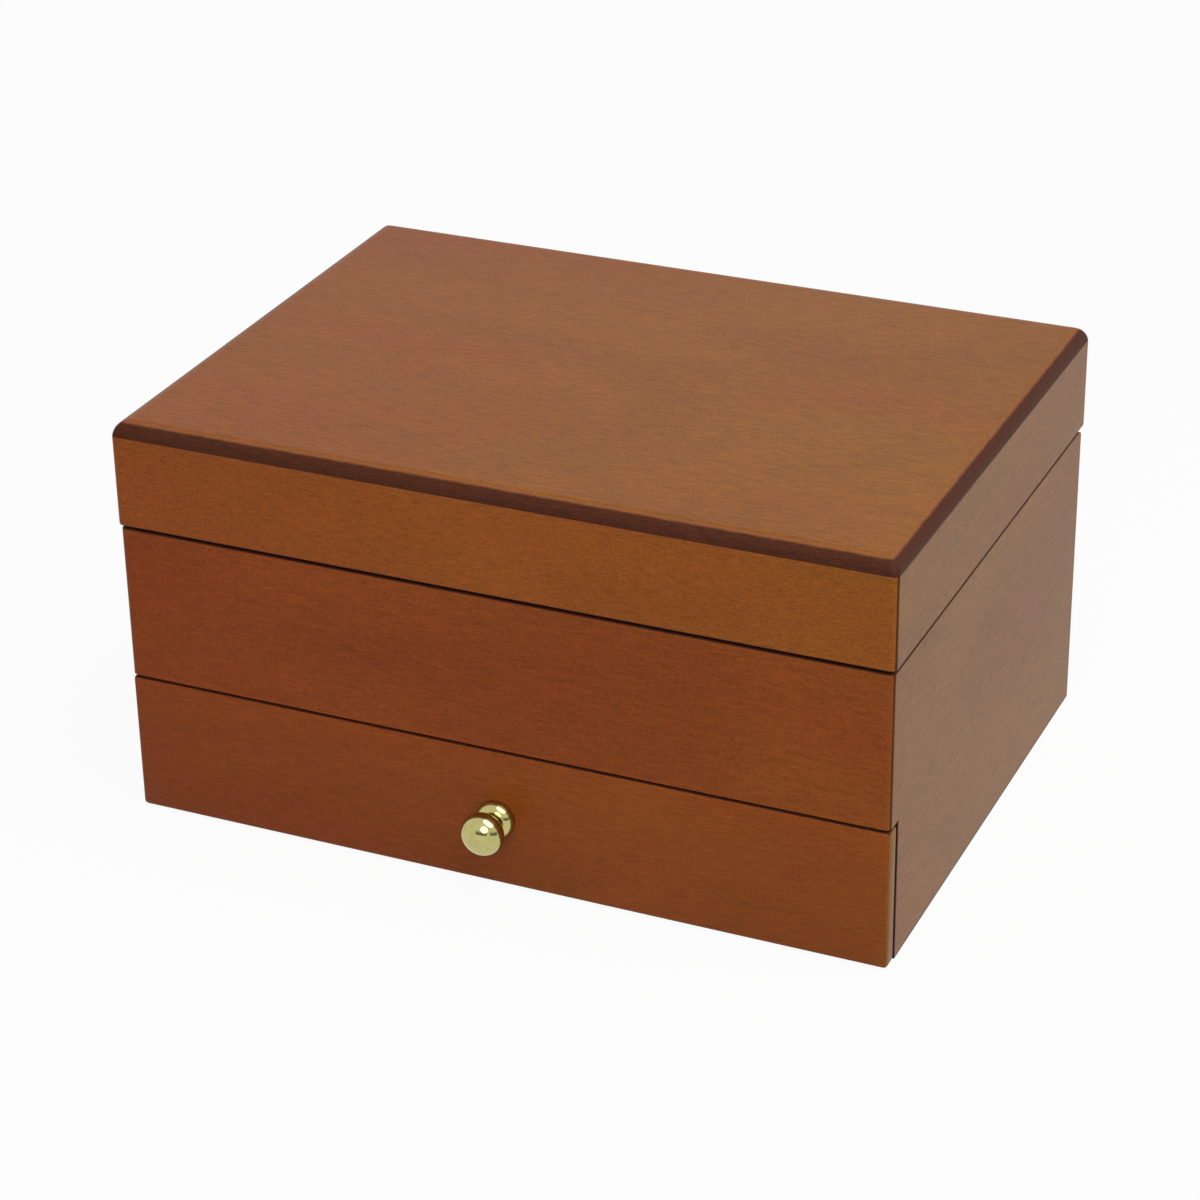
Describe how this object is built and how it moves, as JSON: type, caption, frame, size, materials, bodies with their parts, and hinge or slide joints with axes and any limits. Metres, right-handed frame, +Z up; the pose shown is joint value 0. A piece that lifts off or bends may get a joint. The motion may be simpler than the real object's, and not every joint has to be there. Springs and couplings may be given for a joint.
{
  "type": "ring box with drawer",
  "caption": "Wooden ring box with a hinged lid over a tray of padded ring rolls, and a drawer below it with a turned knob.",
  "frame": {"origin": "centre of the underside, where the box stands, below the middle of the case", "axes": "+Z up, +X to the right as seen from the front, and the drawer opens towards -Y"},
  "size_m": [0.2008, 0.1575, 0.1073],
  "materials": {
    "veneer": "satin lacquer over light brown stained veneer",
    "lid_panel": "satin lacquer, stained veneer with dark stained edges",
    "inner_wood": "thin stained finish",
    "suede": "short napped faux suede over card or foam",
    "felt": "pressed felt",
    "hinge_brass": "polished",
    "screw_brass": "polished",
    "knob_brass": "polished and lacquered",
    "mirror": "silvered"
  },
  "bodies": {
    "case": {"base_felt": "felt", "base_panel": "inner_wood", "case_back": "veneer", "case_front": "veneer", "case_left_side": "veneer", "case_right_side": "veneer", "hinge_case_screws": "screw_brass", "hinge_left_case_leaf": "hinge_brass", "hinge_left_pin": "hinge_brass", "hinge_right_case_leaf": "hinge_brass", "hinge_right_pin": "hinge_brass", "ring_roll_1": "suede", "ring_roll_2": "suede", "ring_roll_3": "suede", "ring_roll_4": "suede", "ring_roll_5": "suede", "ring_roll_6": "suede", "ring_roll_7": "suede", "tray_floor": "inner_wood", "tray_lining_back": "suede", "tray_lining_front": "suede", "tray_lining_left": "suede", "tray_lining_right": "suede", "tray_pad": "suede"},
    "lid": {"hinge_left_lid_leaf": "hinge_brass", "hinge_lid_screws": "screw_brass", "hinge_right_lid_leaf": "hinge_brass", "lid_back_rail": "veneer", "lid_front_rail": "veneer", "lid_left_rail": "veneer", "lid_lining_back": "suede", "lid_lining_front": "suede", "lid_lining_left": "suede", "lid_lining_right": "suede", "lid_right_rail": "veneer", "lid_top_panel": "lid_panel", "mirror_glass": "mirror", "mirror_surround": "suede"},
    "drawer": {"drawer_bottom": "inner_wood", "drawer_box_back": "inner_wood", "drawer_box_front": "inner_wood", "drawer_box_left": "inner_wood", "drawer_box_right": "inner_wood", "drawer_divider_left": "suede", "drawer_divider_long": "suede", "drawer_divider_right": "suede", "drawer_front": "veneer", "drawer_knob": "knob_brass", "drawer_lining_back": "suede", "drawer_lining_front": "suede", "drawer_lining_left": "suede", "drawer_lining_right": "suede", "drawer_pad": "suede", "knob_screw": "screw_brass"}
  },
  "joints": [
    {"name": "lid_hinge", "type": "hinge", "parent": "case", "child": "lid", "pos_m": [0, 0.0711, 0.07845], "axis": [-1, 0, 0], "range_deg": [0, 98]},
    {"name": "drawer_slide", "type": "slide", "parent": "case", "child": "drawer", "axis": [0, -1, 0], "range_m": [0, 0.105]}
  ]
}
